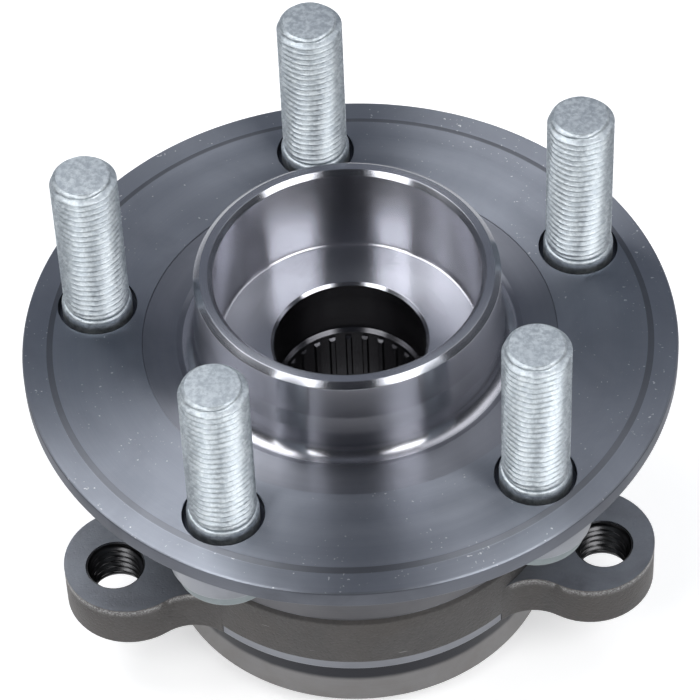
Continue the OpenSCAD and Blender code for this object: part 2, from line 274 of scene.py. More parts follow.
def newGroup(name, inputs, outputs):
    # A shader group that takes and gives plain values.
    tree = bpy.data.node_groups.new(name, "ShaderNodeTree")
    for label, value in inputs.items():
        socket = tree.interface.new_socket(label, in_out="INPUT", socket_type="NodeSocketFloat")
        socket.default_value = value
    for label in outputs:
        tree.interface.new_socket(label, in_out="OUTPUT", socket_type="NodeSocketFloat")
    sheet = Sheet(tree)
    return sheet, sheet.add("NodeGroupInput").outputs, sheet.add("NodeGroupOutput")


# Fine rings left by the lathe, a height and a lightness, outward or along the axis.
marking = {"fullTurn": 6.2832, "drift": 0.25, "fine": (3.0, 0.7), "broad": 0.07}
turning, given, result = newGroup(
    "turningMarks", {"Spacing": 0.35, "Unevenness": 0.5, "Along": 0.0}, ["Height", "Tone"]
)
split = turning.split(turning.place())
radius = turning.vector("LENGTH", turning.combine(X=split[0], Y=split[1]))["Value"]
radiusMm = turning.times(radius, 1 / mm)
heightMm = turning.times(split[2], 1 / mm)
across = turning.add("ShaderNodeMix", Factor=given["Along"], A=radiusMm, B=heightMm).outputs[0]
steps = turning.math("DIVIDE", across, given["Spacing"])
drift = turning.times(turning.math("ARCTAN2", split[1], split[0]), marking["drift"])
spiral = turning.combine(X=steps, Y=drift)
fine = turning.noise(spiral, 1.0, *marking["fine"])
broad = turning.add(
    "ShaderNodeTexNoise", {"noise_dimensions": "2D"}, Vector=spiral, Scale=marking["broad"]
).outputs[0]
wave = turning.math("SINE", turning.times(steps, marking["fullTurn"]))
mixed = turning.add("ShaderNodeMix", Factor=given["Unevenness"], A=wave, B=fine).outputs[0]
turning.set(result, "Height", mixed)
turning.set(result, "Tone", turning.plus(turning.times(fine, 0.5), turning.times(broad, 0.5)))

# Soft blotches of oil, fingerprints and dulled plating.
full = 0.75
blotches, given, result = newGroup("handlingBlotches", {"Size": 60.0, "Sharpness": 0.3}, ["Mask"])
cloud = blotches.noise(blotches.place(), given["Size"], 5.0, 0.6, 0.6)
low = blotches.math("SUBTRACT", full, given["Sharpness"])
blotches.set(result, "Mask", blotches.remap(cloud, low, full, smooth=True))

# Skin of a drop forging: lumps, pits and fine grain.
forging = {
    "grain": (3.0, 0.65), "lump": (4.0, 0.55), "grainTone": 0.55, "lumpTone": 0.45,
    "pitScale": 900.0, "pitSize": 0.34, "pitDepth": 0.25,
}
skin, given, result = newGroup("forgedSkin", {"Grain": 1400.0, "Lump": 160.0}, ["Height", "Tone"])
place = skin.place()
grain = skin.noise(place, given["Grain"], *forging["grain"])
lump = skin.noise(place, given["Lump"], *forging["lump"])
cells = skin.add(
    "ShaderNodeTexVoronoi", {"feature": "F1"}, Vector=place, Scale=forging["pitScale"]
).outputs["Distance"]
pits = skin.remap(cells, 0.0, forging["pitSize"], 1.0, 0.0, smooth=True)
body = skin.plus(skin.times(grain, 0.5), skin.times(lump, 0.5))
skin.set(result, "Height", skin.math("SUBTRACT", body, skin.times(pits, forging["pitDepth"])))
tone = skin.plus(skin.times(grain, forging["grainTone"]), skin.times(lump, forging["lumpTone"]))
skin.set(result, "Tone", tone)

# Edges rubbed bright: the mesh's own edge attribute, broken up.
rubbing = {"noise": (2300.0, 3.0, 0.7), "range": (0.34, 0.66)}
rubbed, given, result = newGroup("rubbedEdges", {}, ["Mask"])
edge = rubbed.add("ShaderNodeAttribute", {"attribute_name": "edge"}).outputs["Fac"]
speck = rubbed.noise(rubbed.place(), *rubbing["noise"])
broken = rubbed.remap(speck, *rubbing["range"], smooth=True)
rubbed.set(result, "Mask", rubbed.times(edge, broken))

# Tiny bright nicks from handling, more in some places than in others.
nick = {"fine": 1300.0, "wide": 90.0, "wideShare": 0.35, "range": (0.90, 0.97)}
nicked, given, result = newGroup("handlingNicks", {"Amount": 0.5}, ["Mask"])
place = nicked.place()
fine = nicked.noise(place, nick["fine"], 1.0)
wide = nicked.times(nicked.noise(place, nick["wide"], 1.0), nick["wideShare"])
nicks = nicked.remap(nicked.plus(fine, wide), *nick["range"], smooth=True)
nicked.set(result, "Mask", nicked.math("MULTIPLY", nicks, given["Amount"], clamp=True))

# Sparse light scratches that run round the part.
score = {
    "perMetre": 2600.0, "driftScale": 30.0, "drift": 3.0, "round": 7.0, "roughness": 0.4,
    "rarest": 0.86, "densityShare": 0.2, "softness": 0.06,
}
scored, given, result = newGroup("scoredLines", {"Density": 0.5}, ["Mask"])
place = scored.place()
split = scored.split(place)
angle = scored.math("ARCTAN2", split[1], split[0])
drift = scored.times(scored.noise(place, score["driftScale"], 1.0), score["drift"])
level = scored.plus(scored.times(split[2], score["perMetre"]), drift)
course = scored.combine(X=level, Y=scored.times(angle, score["round"]))
lines = scored.noise(course, 1.0, 1.0, score["roughness"])
density = scored.times(given["Density"], score["densityShare"])
least = scored.math("SUBTRACT", score["rarest"], density)
most = scored.plus(least, score["softness"])
scored.set(result, "Mask", scored.remap(lines, least, most, smooth=True))


def newMaterial(name):
    made = bpy.data.materials.new(name)
    made.use_nodes = True
    finishes[name] = made
    return Sheet(made.node_tree), made.node_tree.nodes["Principled BSDF"]


def placeGroup(sheet, name, **inputs):
    tree = bpy.data.node_groups[name]
    return sheet.add("ShaderNodeGroup", {"node_tree": tree}, **inputs).outputs


lathe = {
    "unevenness": 0.8, "toneRange": (0.3, 0.7), "grooveDepth": 0.00004,  # m
    "blotchSize": 55.0, "blotchEdge": 0.35, "blotchTone": 0.72, "blotchDulls": 0.05,
    "nickTone": (0.75, 0.76, 0.78, 1),
    "streak": 0.25,  # runs the gloss across the rings
}


def turnedSteel(name, dark, light, rough, spread, spacing, relief, anisotropy=0.0, along=0.0,
                blotch=0.3, nicks=0.0):
    # Steel off the lathe: fine rings, and a gloss that streaks across them.
    sheet, shader = newMaterial(name)
    marks = placeGroup(
        sheet, "turningMarks", Spacing=spacing, Unevenness=lathe["unevenness"], Along=along
    )
    cloud = placeGroup(
        sheet, "handlingBlotches", Size=lathe["blotchSize"], Sharpness=lathe["blotchEdge"]
    )["Mask"]
    tone = sheet.blend(marks["Tone"], (*dark, 1), (*light, 1))
    dulled = (*[v * lathe["blotchTone"] for v in dark], 1)
    tone = sheet.blend(sheet.times(cloud, blotch), tone, dulled)
    if nicks:
        struck = placeGroup(sheet, "handlingNicks", Amount=nicks)["Mask"]
        tone = sheet.blend(struck, tone, lathe["nickTone"])
    sheet.set(shader, "Base Color", tone)
    sheet.set(shader, "Metallic", 1.0)
    roughness = sheet.remap(marks["Tone"], *lathe["toneRange"], rough - spread, rough + spread)
    duller = sheet.times(cloud, lathe["blotchDulls"] * blotch)
    sheet.set(shader, "Roughness", sheet.plus(roughness, duller))
    sheet.bump(shader, relief, lathe["grooveDepth"], marks["Height"])
    if anisotropy:
        sheet.set(shader, "Anisotropic", anisotropy)
        sheet.set(shader, "Anisotropic Rotation", lathe["streak"])
        tangent = sheet.add("ShaderNodeTangent", {"direction_type": "RADIAL", "axis": "Z"})
        sheet.set(shader, "Tangent", tangent.outputs[0])


# Dark and light tone, roughness, its spread, mm from ring to ring and relief; then, where set,
# anisotropy, rings along the axis, blotches and nicks.
steels = {
    "turnedFace": ((0.24, 0.26, 0.3), (0.34, 0.36, 0.41), 0.42, 0.05, 0.3, 0.25, 0.93, 0, 0.3, 0.7),
    "turnedBand": ((0.26, 0.28, 0.32), (0.35, 0.37, 0.42), 0.4, 0.05, 0.22, 0.2, 0.93, 0, 0.3, 0.9),
    "polishedPilot": ((0.46, 0.46, 0.5), (0.52, 0.52, 0.56), 0.22, 0.006, 0.25, 0.03, 1, 1, 0.12),
    "recessFloor": ((0.4, 0.41, 0.45), (0.5, 0.51, 0.56), 0.24, 0.02, 0.4, 0.05, 0.9),
    "innerBand": ((0.24, 0.25, 0.28), (0.31, 0.32, 0.36), 0.34, 0.03, 0.22, 0.08, 0.93),
    "cutEdge": ((0.38, 0.39, 0.43), (0.46, 0.47, 0.51), 0.22, 0.02, 0.2, 0.04, 0.9, 0, 0.1),
    "recessWall": ((0.5, 0.5, 0.54), (0.58, 0.58, 0.62), 0.24, 0.015, 0.25, 0.03, 1, 1, 0.12),
    "turnedRoot": ((0.2, 0.21, 0.23), (0.28, 0.29, 0.32), 0.36, 0.05, 0.5, 0.3, 0, 0, 0.5),
    "boreSteel": ((0.1, 0.1, 0.11), (0.15, 0.15, 0.16), 0.22, 0.03, 0.5, 0.1, 0.9, 1),
    # Rim side: the same turned steel as the face, darkened as painted shade.
    "turnedRim": ((0.11, 0.118, 0.138), (0.17, 0.18, 0.21), 0.4, 0.03, 0.3, 0.1, 0.95, 1, 0.5),
    # Seat step: darker than the face, as painted shade along the step.
    "stepLine": ((0.15, 0.16, 0.18), (0.23, 0.24, 0.27), 0.42, 0.05, 0.3, 0.2, 0.93),
    # Collar under the flange: darkened as painted shade.
    "groundCollar": ((0.13, 0.13, 0.14), (0.19, 0.19, 0.2), 0.36, 0.02, 0.3, 0.05, 1, 1),
    "turnedSkirt": ((0.2, 0.21, 0.235), (0.28, 0.29, 0.32), 0.34, 0.03, 0.4, 0.1, 0.9, 1, 0.4),
    # Ear-hole threads: darkened as painted shade inside the holes.
    "tappedSteel": ((0.05, 0.05, 0.052), (0.09, 0.09, 0.094), 0.3, 0.05, 0.4, 0.2),
    # Counterbores round the studs: near-black as painted shade.
    "oilyGap": ((0.03, 0.033, 0.042), (0.06, 0.065, 0.08), 0.35, 0.04, 0.4, 0.1),
    "machinedRing": ((0.2, 0.205, 0.22), (0.28, 0.285, 0.31), 0.27, 0.05, 0.45, 0.25, 0, 1, 0.5),
    "groundSteel": ((0.5, 0.51, 0.53), (0.6, 0.61, 0.63), 0.2, 0.03, 0.3, 0.08),
    "sealSheet": ((0.4, 0.41, 0.43), (0.5, 0.51, 0.53), 0.34, 0.04, 0.6, 0.1),
}
for name, values in steels.items():
    turnedSteel(name, *values)

# Zinc plate: light and bluish, with a grainy bloom, and painted shade on the stud heads under the
# flange.
zinc = {
    "dark": (0.47, 0.52, 0.56, 1), "light": (0.72, 0.77, 0.80, 1), "mottle": (0.34, 0.66),
    "worn": (0.45, 0.50, 0.55, 1), "wornShare": 0.35,
    "paintedShade": (0.22, 0.25, 0.26, 1), "paintedShadeBelow": (-0.0128, -0.0136),  # m
    "gloss": (0.3, 0.7, 0.44, 0.56), "relief": (0.25, 0.00007),
}
sheet, shader = newMaterial("zincPlate")
place = sheet.place()
bloom = sheet.noise(place, 900.0, 4.0, 0.7)
patch = placeGroup(sheet, "handlingBlotches", Size=150.0, Sharpness=0.4)["Mask"]
mottle = sheet.remap(bloom, *zinc["mottle"], smooth=True)
tone = sheet.blend(mottle, zinc["dark"], zinc["light"])
tone = sheet.blend(sheet.times(patch, zinc["wornShare"]), tone, zinc["worn"])
# Painted shade: the stud heads, below the flange's back, get the darker tone.
paintedShade = sheet.remap(sheet.split(place)[2], *zinc["paintedShadeBelow"])
sheet.set(shader, "Base Color", sheet.blend(paintedShade, tone, zinc["paintedShade"]))
sheet.set(shader, "Metallic", 1.0)
sheet.set(shader, "Roughness", sheet.remap(bloom, *zinc["gloss"]))
sheet.bump(shader, *zinc["relief"], bloom)

# The forging as it leaves the shot-blast, with bright rubbed edges.
forged = {
    "dark": (0.045, 0.043, 0.042, 1), "light": (0.135, 0.13, 0.13, 1),
    "warm": (0.10, 0.088, 0.08, 1), "warmShare": 0.5, "scratch": (0.30, 0.30, 0.30, 1),
    "edge": (0.42, 0.42, 0.42, 1), "edgeShare": 0.8,
    "metallic": (0.7, 1.0), "roughness": (0.55, 0.38), "relief": (0.9, 0.00035),
}
sheet, shader = newMaterial("forgedRing")
scale = placeGroup(sheet, "forgedSkin")
edgeMask = placeGroup(sheet, "rubbedEdges")["Mask"]
warm = placeGroup(sheet, "handlingBlotches", Size=40.0, Sharpness=0.4)["Mask"]
scratches = placeGroup(sheet, "scoredLines")["Mask"]
tone = sheet.blend(scale["Tone"], forged["dark"], forged["light"])
tone = sheet.blend(sheet.times(warm, forged["warmShare"]), tone, forged["warm"])
tone = sheet.blend(scratches, tone, forged["scratch"])
tone = sheet.blend(sheet.times(edgeMask, forged["edgeShare"]), tone, forged["edge"])
sheet.set(shader, "Base Color", tone)
sheet.set(shader, "Metallic", sheet.remap(edgeMask, 0.0, 1.0, *forged["metallic"]))
sheet.set(shader, "Roughness", sheet.remap(edgeMask, 0.0, 1.0, *forged["roughness"]))
sheet.bump(shader, *forged["relief"], scale["Height"])

# Top faces of the ears, blasted to a smooth blue-grey.
blasted = {
    "dark": (0.24, 0.255, 0.285, 1), "light": (0.38, 0.40, 0.44, 1),
    "dull": (0.15, 0.15, 0.16, 1), "dullShare": 0.5,
    "edge": (0.45, 0.46, 0.47, 1), "edgeShare": 0.7,
    "gloss": (0.3, 0.7, 0.40, 0.50), "relief": (0.5, 0.00015),
}
sheet, shader = newMaterial("blastedFace")
scale = placeGroup(sheet, "forgedSkin", Grain=2400.0, Lump=220.0)
edgeMask = placeGroup(sheet, "rubbedEdges")["Mask"]
cloud = placeGroup(sheet, "handlingBlotches", Size=70.0, Sharpness=0.35)["Mask"]
tone = sheet.blend(scale["Tone"], blasted["dark"], blasted["light"])
tone = sheet.blend(sheet.times(cloud, blasted["dullShare"]), tone, blasted["dull"])
tone = sheet.blend(sheet.times(edgeMask, blasted["edgeShare"]), tone, blasted["edge"])
sheet.set(shader, "Base Color", tone)
sheet.set(shader, "Metallic", 0.9)
sheet.set(shader, "Roughness", sheet.remap(scale["Tone"], *blasted["gloss"]))
sheet.bump(shader, *blasted["relief"], scale["Height"])

# Knuckle pilot: turned, with a band of painted shade just under the face, ragged at its lower edge.
knuckle = {
    "dark": (0.15, 0.148, 0.15, 1), "light": (0.25, 0.247, 0.25, 1),
    "stain": (0.14, 0.125, 0.115, 1), "stainShare": 0.6,
    "pilotShade": (0.022, 0.023, 0.029, 1), "pilotShadeAbove": (-0.0642, -0.0626), "ragged": 0.0004,  # m
    "gloss": (0.3, 0.7, 0.33, 0.42), "relief": (0.25, 0.00004),
}
sheet, shader = newMaterial("knucklePilot")
marks = placeGroup(sheet, "turningMarks", Spacing=0.5, Unevenness=0.8, Along=1.0)
cloud = placeGroup(sheet, "handlingBlotches", Size=45.0, Sharpness=0.4)["Mask"]
edge = sheet.plus(sheet.split(sheet.place())[2], sheet.times(cloud, knuckle["ragged"]))
# Painted shade: the top of the pilot, under the ring's face, is darkened.
pilotShadeMask = sheet.remap(edge, *knuckle["pilotShadeAbove"], smooth=True)
tone = sheet.blend(marks["Tone"], knuckle["dark"], knuckle["light"])
tone = sheet.blend(sheet.times(cloud, knuckle["stainShare"]), tone, knuckle["stain"])
sheet.set(shader, "Base Color", sheet.blend(pilotShadeMask, tone, knuckle["pilotShade"]))
sheet.set(shader, "Metallic", 1.0)
sheet.set(shader, "Roughness", sheet.remap(marks["Tone"], *knuckle["gloss"]))
sheet.bump(shader, *knuckle["relief"], marks["Height"])

# Polished balls, with the faintest haze.
sheet, shader = newMaterial("polishedBall")
haze = placeGroup(sheet, "handlingBlotches", Size=200.0, Sharpness=0.3)["Mask"]
tone = sheet.blend(haze, (0.78, 0.78, 0.8, 1), (0.7, 0.7, 0.72, 1))
sheet.set(shader, "Base Color", tone)
sheet.set(shader, "Metallic", 1.0)
sheet.set(shader, "Roughness", sheet.remap(haze, 0.0, 1.0, 0.05, 0.12))

# Glass-filled nylon of the cages.
sheet, shader = newMaterial("cageNylon")
fleck = placeGroup(sheet, "forgedSkin", Grain=2600.0, Lump=300.0)
tone = sheet.blend(fleck["Tone"], (0.50, 0.38, 0.22, 1), (0.72, 0.60, 0.40, 1))
sheet.set(shader, "Base Color", tone)
sheet.set(shader, "Roughness", 0.5)
sheet.bump(shader, 0.15, 0.0001, fleck["Height"])

# Rubber of the seals and the magnetic ring.
rubber = {"grain": 3000.0, "lump": 250.0, "toneRange": (0.3, 0.7), "spread": 0.06}


def mouldedRubber(name, dark, light, rough):
    sheet, shader = newMaterial(name)
    fleck = placeGroup(sheet, "forgedSkin", Grain=rubber["grain"], Lump=rubber["lump"])
    sheet.set(shader, "Base Color", sheet.blend(fleck["Tone"], (*dark, 1), (*light, 1)))
    gloss = (rough - rubber["spread"], rough + rubber["spread"])
    sheet.set(shader, "Roughness", sheet.remap(fleck["Tone"], *rubber["toneRange"], *gloss))
    sheet.bump(shader, 0.2, 0.0001, fleck["Height"])


mouldedRubber("sealRubber", (0.012, 0.012, 0.014), (0.03, 0.03, 0.033), 0.5)
mouldedRubber("magnetRubber", (0.03, 0.024, 0.02), (0.06, 0.05, 0.045), 0.62)

print("stage: hub spindle")

hub = {  # radii and heights in mm
    "flange": 68.5, "rim": 4.4, "seat": 62.2, "seatBevel": 1.3, "band": 0.35,
    "innerFace": 43.3, "innerDrop": 0.3, "innerEdge": 0.15,
    "backEdge": 6.0, "backDrop": 1.0, "backRoot": 3.0, "backDepth": -9.5,
    "wheelPilot": 31.65, "discPilot": 32.4, "step": 7.8, "cone": 2.0, "coneBlend": 4.0,
    "top": 19.5, "mouth": 1.0, "leadWidth": 1.3, "leadHeight": 1.1,
    "foot": 2.6, "footDepth": 0.6, "footEdge": 0.25, "footRise": 1.25,
    "recess": 27.7, "floor": -2.3, "bore": 16.05, "boreBevel": 0.6, "lead": -16.1,
    "splineRoot": 15.3, "splineTip": 13.8, "splineEnd": -68.0, "teeth": 27, "toothInset": 0.2,
    "endBevel": 0.6, "deepBore": -20.0, "rootTop": -1.6,
    "neck": 40.2, "neckTop": -10.5, "neckFoot": 38.2, "land": 28.7, "rootFace": -16.5,
    "groove": 26.9, "grooveTop": -27.0, "shoulder": 25.4, "shoulderTop": -35.9,
    "shoulderEnd": -37.9, "core": 24.5, "coreTop": -39.5, "coreEnd": -45.0,
    "ringSeat": 20.0, "seatRelief": 1.0, "ringBack": -72.3,
    "nose": 26.0, "noseEnd": -75.7, "noseDraft": 0.4, "noseRound": 0.9, "noseRoll": 3.2,
    "mouthIn": 3.0, "mouthDepth": 2.4,
    "studs": 5, "studCircle": 54.0, "studPhase": 24.1,
    "recessRing": 8.35, "recessDepth": 2.0, "recessLip": 0.1, "recessFlare": 0.6, "above": 0.5,
    "boss": 11.7, "bossDepth": 13.6, "bossRoot": 3.4, "bossEdge": 0.7,
    "webSize": (17.0, 14.0, 8.0), "webPlace": (45.5, 0, -9.5), "webEdge": 1.2,
}
leadEnd = hub["lead"] - (hub["bore"] - hub["splineRoot"])
endMouth = hub["splineRoot"] + hub["endBevel"]
hubCorners = [  # r, z and the fillet there
    (hub["recess"] + hub["mouth"], hub["top"], 0.12),
    (hub["wheelPilot"] - hub["leadWidth"], hub["top"], 0.15),
    (hub["wheelPilot"], hub["top"] - hub["leadHeight"], 0.3),
    (hub["wheelPilot"], hub["step"] + hub["cone"], hub["coneBlend"]),
    (hub["discPilot"], hub["step"] - hub["cone"], hub["coneBlend"]),
    (hub["discPilot"], -hub["footDepth"], hub["foot"]),
    (hub["discPilot"] + hub["foot"] + hub["footEdge"], -hub["footDepth"], 0.15),
    (hub["discPilot"] + hub["foot"] + hub["footRise"], -hub["innerDrop"], 0.25),
    (hub["innerFace"], -hub["innerDrop"]),
    (hub["innerFace"] + hub["innerEdge"], 0.0),
    (hub["seat"], 0.0, 0.8),
    (hub["seat"] + hub["seatBevel"], -hub["band"], 0.8),
    (hub["flange"], -hub["band"], 0.6),
    (hub["flange"], -hub["rim"], 0.4),
    (hub["flange"] - hub["backEdge"], -hub["rim"] - hub["backDrop"], 3.0),
    (hub["innerFace"] + hub["backRoot"], hub["backDepth"], 4.0),
    (hub["neck"], hub["neckTop"], 2.0),
    (hub["neckFoot"], hub["rootFace"], 1.2),
    (hub["land"], hub["rootFace"], 2.6),
    (hub["land"], hub["grooveTop"]),
    (hub["groove"], hub["grooveTop"]),
    (hub["shoulder"], hub["shoulderTop"]),
    (hub["shoulder"], hub["shoulderEnd"]),
    (hub["core"], hub["coreTop"]),
    (hub["core"], hub["coreEnd"], 0.4),
    (hub["ringSeat"], hub["coreEnd"]),
    (hub["ringSeat"], hub["ringBack"] + hub["seatRelief"]),
    (hub["ringSeat"] + hub["seatRelief"], hub["ringBack"]),
    (hub["nose"], hub["ringBack"], 0.5),
    (hub["nose"] - hub["noseDraft"], hub["noseEnd"] + hub["noseRound"], 1.4),
    (hub["nose"] - hub["noseRoll"], hub["noseEnd"], 0.8),
    (hub["splineRoot"] + hub["mouthIn"], hub["noseEnd"], 0.3),
    (endMouth, hub["noseEnd"] + hub["mouthDepth"], 0.3),
    (endMouth, hub["splineEnd"]),
    (hub["splineRoot"], hub["splineEnd"] + hub["endBevel"]),
    (hub["splineRoot"], leadEnd),
    (hub["bore"], hub["lead"]),
    (hub["bore"], hub["floor"] - hub["boreBevel"]),
    (hub["bore"] + hub["boreBevel"], hub["floor"], 0.1),
    (hub["recess"], hub["floor"], 0.8),
    (hub["recess"], hub["top"] - hub["mouth"], 0.12),
]
hubNames = [
    "turnedFace", "turnedBand", "polishedPilot", "recessFloor", "cutEdge", "turnedRoot",
    "boreSteel", "innerBand", "recessWall", "oilyGap", "turnedRim", "stepLine",
]
studAngles = [hub["studPhase"] + 360 * i / hub["studs"] for i in range(hub["studs"])]


def hubZone(r, z, slack=0.1, corner=0.6):
    # Which finish the lathe left on each stretch of the profile.
    inBore = z < hub["floor"] - slack / 2 and r < hub["bore"] + slack
    if inBore or z < hub["deepBore"] and r < hub["ringSeat"]:
        return "boreSteel"
    # The flange rim's side takes its painted shade finish.
    if r > hub["flange"] - slack and z < -hub["band"] - slack:
        return "turnedRim"
    if z < hub["rootTop"] and r > hub["recess"] + corner:
        return "turnedRoot"
    if r < hub["recess"] - corner and z < hub["floor"] + slack:
        return "recessFloor" if r > hub["bore"] + corner - slack else "cutEdge"
    if z > hub["top"] - hub["leadHeight"] - slack and r > hub["recess"] + slack:
        return "cutEdge"
    if r < hub["recess"] + slack:
        return "recessWall"
    if r < hub["discPilot"] + hub["foot"] and z > -hub["footDepth"] - slack:
        return "polishedPilot"
    if r < hub["innerFace"] + slack:
        return "innerBand"
    # The seat's outward step takes its painted shade finish.
    if hub["seat"] - slack < r < hub["seat"] + hub["seatBevel"] - slack:
        return "stepLine"
    return "turnedFace" if r < hub["seat"] else "turnedBand"


spindle = newObject("hubSpindle", turnedMesh("hubSpindle", hubCorners, hubZone, hubNames, 288))

# Counterbores round the studs, cut with a small chamfer; below the lip their walls and floor carry
# painted shade.
cutters = []
for degrees in studAngles:
    corners = [
        (0, -hub["recessDepth"]), (hub["recessRing"], -hub["recessDepth"]),
        (hub["recessRing"], -hub["recessLip"]),
        (hub["recessRing"] + hub["recessFlare"], hub["above"]), (0, hub["above"]),
    ]
    zone = lambda r, z: "oilyGap" if z < -hub["recessLip"] / 2 else "cutEdge"
    bore = turnedMesh("counterbore", corners, zone, hubNames, 72, closed=False)
    bore.transform(Matrix.Translation(onCircle(hub["studCircle"] * mm, degrees)))
    cutters.append(newObject("counterbore", bore))
carve(spindle, joined("counterbores", cutters))

# Bosses and webs behind the studs.
bosses = []
for degrees in studAngles:
    corners = [
        (0, -hub["bossDepth"]), (hub["boss"], -hub["bossDepth"], hub["bossEdge"]),
        (hub["boss"], -hub["bossRoot"]), (0, -hub["bossRoot"]),
    ]
    boss = turnedMesh("boss", corners, lambda r, z: "turnedRoot", hubNames, 72, closed=False)
    boss.transform(Matrix.Translation((hub["studCircle"] * mm, 0, 0)))
    web = bmesh.new()
    bmesh.ops.create_cube(web, size=1.0)
    size = tuple(side * mm for side in hub["webSize"])
    shift = tuple(side * mm for side in hub["webPlace"])
    bmesh.ops.scale(web, vec=size, verts=web.verts)
    bmesh.ops.translate(web, vec=shift, verts=web.verts)
    bmesh.ops.bevel(
        web, geom=web.edges, offset=hub["webEdge"] * mm, segments=3, affect="EDGES", profile=0.5
    )
    for face in web.faces:
        face.material_index = hubNames.index("turnedRoot")
    for name, data in (("boss", boss), ("web", meshData("web", web))):
        data.transform(Matrix.Rotation(math.radians(degrees), 4, "Z"))
        bosses.append(newObject(name, data))
spindle = joined("hubSpindle", [spindle] + bosses)
smoothSharp(spindle)
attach(spindle, "hub")
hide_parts("hub_spindle")


def geometryTree(name, inputs):
    # A geometry tree; inputs gives each further socket's kind.
    tree = bpy.data.node_groups.new(name, "GeometryNodeTree")
    tree.interface.new_socket("Geometry", in_out="INPUT", socket_type="NodeSocketGeometry")
    tree.interface.new_socket("Geometry", in_out="OUTPUT", socket_type="NodeSocketGeometry")
    for label, kind in inputs.items():
        tree.interface.new_socket(label, in_out="INPUT", socket_type="NodeSocket" + kind)
    sheet = Sheet(tree)
    return sheet, sheet.add("NodeGroupInput").outputs, sheet.add("NodeGroupOutput")


def finishTree(sheet, given, result, copies):
    # Ends a tree with the copies as one plain mesh in the given finish.
    whole = sheet.add("GeometryNodeRealizeInstances", Geometry=copies.outputs[0])
    dressed = sheet.add(
        "GeometryNodeSetMaterial", Geometry=whole.outputs[0], Material=given["Finish"]
    )
    sheet.set(result, "Geometry", dressed.outputs[0])


def grow(made, tree, values):
    # Runs a geometry tree on an object and keeps the result as its plain mesh.
    step = made.modifiers.new("grow", "NODES")
    step.node_group = tree
    for item in tree.interface.items_tree:
        if item.in_out == "INPUT" and item.name in values:
            step[item.identifier] = values[item.name]
    settle(made)


# A helical groove pressed into a blank where its thread attribute says, then set at each place.
threadForm = {"root": 0.12, "crest": 0.86}  # widths, as shares of half a pitch
threads, given, result = geometryTree(
    "threadedSet", {"Places": "Object", "Pitch": "Float", "Depth": "Float", "Finish": "Material"}
)
where = threads.split(threads.add("GeometryNodeInputPosition").outputs[0])
around = threads.math("DIVIDE", threads.math("ARCTAN2", where[1], where[0]), 2 * math.pi)
along = threads.math("DIVIDE", where[2], threads.times(given["Pitch"], mm))
phase = threads.math("FRACT", threads.math("SUBTRACT", along, around))
crest = threads.math("ABSOLUTE", threads.math("SUBTRACT", threads.times(phase, 2.0), 1.0))
flank = threads.remap(crest, threadForm["root"], threadForm["crest"], 1.0, 0.0)
mask = threads.add("GeometryNodeInputNamedAttribute", {"data_type": "FLOAT"}, Name="thread")
sunk = threads.times(threads.times(flank, mask.outputs[0]), threads.times(given["Depth"], -mm))
unit = threads.vector("NORMALIZE", threads.combine(X=where[0], Y=where[1]))[0]
shift = threads.vector("SCALE", unit, Scale=sunk)[0]
cut = threads.add("GeometryNodeSetPosition", Geometry=given["Geometry"], Offset=shift)
spots = threads.add(
    "GeometryNodeObjectInfo", {"transform_space": "ORIGINAL"}, Object=given["Places"]
)
copies = threads.add(
    "GeometryNodeInstanceOnPoints", Points=spots.outputs["Geometry"], Instance=cut.outputs[0]
)
finishTree(threads, given, result, copies)


def threadAttribute(data, start, end, fade, inner, outer):
    # Marks how much thread each vertex of a blank takes, from heights and radii in mm.
    values = []
    for vertex in data.vertices:
        r = math.hypot(vertex.co.x, vertex.co.y) / mm
        z = vertex.co.z / mm
        ramp = min(1.0, max(0.0, (z - start) / fade), max(0.0, (end - z) / fade))
        values.append(ramp if inner <= r <= outer else 0.0)
    data.attributes.new("thread", "FLOAT", "POINT").data.foreach_set("value", values)


def threadedSet(blank, places, pitch, depth, finish):
    # Cuts the thread and sets the blank at each place, as one plain mesh.
    data = bpy.data.meshes.new("places")
    data.from_pydata([Vector(place) * mm for place in places], [], [])
    spots = newObject("places", data)
    values = {"Places": spots, "Pitch": pitch, "Depth": depth, "Finish": finishes[finish]}
    grow(blank, threads.tree, values)
    bpy.data.objects.remove(spots)
    smoothSharp(blank, 50)


print("stage: wheel studs")

stud = {  # mm
    "major": 6.95, "tip": 5.5, "top": 39.1, "chamfer": 1.55, "chamferRows": 8,
    "dish": 0.02, "dishEdge": 0.35,
    "shank": 7.4, "collar": 2.3, "collarEdge": 0.8, "collarStart": 0.9, "cone": 0.1,
    "neck": 0.95, "neckStart": 0.15, "neckEnd": 0.35, "threadStart": 0.6, "band": (0.15, 0.1),
    "pitch": 1.5, "depth": 0.86, "fadeFrom": 0.4, "fade": 1.2, "rows": 8, "around": 64,
    "head": 10.5, "headDepth": 17.4, "headEdge": 1.1, "headTop": 0.4,
}
back = -hub["bossDepth"]
neck = stud["major"] - stud["neck"]
low = stud["collar"] + stud["threadStart"]
high = stud["top"] - stud["chamfer"]
studCorners = [(0, -stud["headDepth"])]
studCorners += filleted([
    (0, -stud["headDepth"]), (stud["head"], -stud["headDepth"], stud["headEdge"]),
    (stud["head"], back, stud["headTop"]), (stud["shank"], back),
], 4)[1:-1]
studCorners += [(stud["shank"], back), (stud["shank"], stud["collar"] - stud["collarStart"])]
studCorners += filleted([
    (stud["shank"], back), (stud["shank"], stud["collar"], stud["collarEdge"]),
    (stud["major"] - 1.0, stud["collar"] + stud["cone"]),
])[1:-1]
studCorners += [(neck, stud["collar"] + stud[end]) for end in ("neckStart", "neckEnd")]
rowCount = int((high - low) / stud["pitch"] * stud["rows"])
studCorners += [(stud["major"], low + (high - low) * k / rowCount) for k in range(rowCount + 1)]
